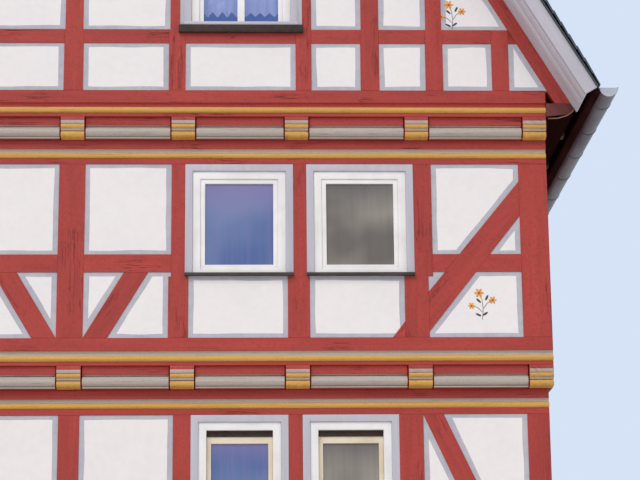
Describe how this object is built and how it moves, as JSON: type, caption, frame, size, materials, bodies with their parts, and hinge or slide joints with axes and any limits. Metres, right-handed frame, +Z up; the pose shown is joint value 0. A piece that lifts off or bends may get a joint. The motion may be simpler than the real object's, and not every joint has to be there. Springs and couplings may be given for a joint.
{
  "type": "half-timbered house",
  "caption": "Tall gable-fronted half-timbered house with jettied storeys, moulded sills and joist ends, casement windows and a steep slate roof over a stone plinth.",
  "frame": {"origin": "centre of the house on the ground, under the middle of the ridge", "axes": "+Z up, +X to the right seen from the street, +Y from the entrance front to the back"},
  "size_m": [11.282, 11.01, 17.783],
  "materials": {
    "stone": "tooled sandstone, dry and rough",
    "red_timber": "old oak painted red, cracked and weathered",
    "bare_timber": "bare sawn timber",
    "plaster": "limewashed plaster, matte",
    "moulding": "carved and painted red, ochre and grey",
    "floor": "worn floor boards",
    "slate": "natural slate, satin",
    "ridge_metal": "dull folded sheet",
    "pale_boards": "planed boards painted pale grey, matte",
    "grey_paint": "casing painted lavender grey, matte",
    "white_paint": "joinery painted white, satin",
    "pane": "window glass",
    "dark_metal": "dark weathered sheet",
    "gutter_metal": "weathered zinc, dull",
    "door_paint": "boarded door painted brown",
    "lace": "white lace"
  },
  "bodies": {
    "root": {"plinth": "stone", "door_steps": "stone", "door_frame": "red_timber", "entrance_door": "door_paint", "front_sills": "moulding", "side_sills": "moulding", "front_plates": "moulding", "side_plates": "moulding", "ground_posts": "red_timber", "first_posts": "red_timber", "second_posts": "red_timber", "gable_posts": "red_timber", "gable_rails": "red_timber", "gable_collars": "red_timber", "gable_rafters": "red_timber", "rails": "red_timber", "braces": "red_timber", "ground_panels": "plaster", "first_panels": "plaster", "second_panels": "plaster", "gable_panels": "plaster", "first_joists": "moulding", "second_joists": "moulding", "attic_joists": "moulding", "ground_joists": "bare_timber", "joist_fillers": "moulding", "ground_floor": "floor", "upper_floors": "floor", "eave_beams": "moulding", "rafters": "bare_timber", "ridge_beam": "bare_timber", "collar_beams": "bare_timber", "roof_boards": "bare_timber", "roof_slates": "slate", "ridge_cap": "ridge_metal", "bargeboards": "pale_boards", "verge_soffits": "pale_boards", "eave_fascias": "pale_boards", "gutters": "gutter_metal", "gutter_brackets": "gutter_metal", "window_casings": "grey_paint", "window_frames": "white_paint", "window_sashes": "white_paint", "window_panes": "pane", "weatherboards": "dark_metal", "gable_curtains": "lace", "curtain_rods": "dark_metal"}
  },
  "joints": []
}
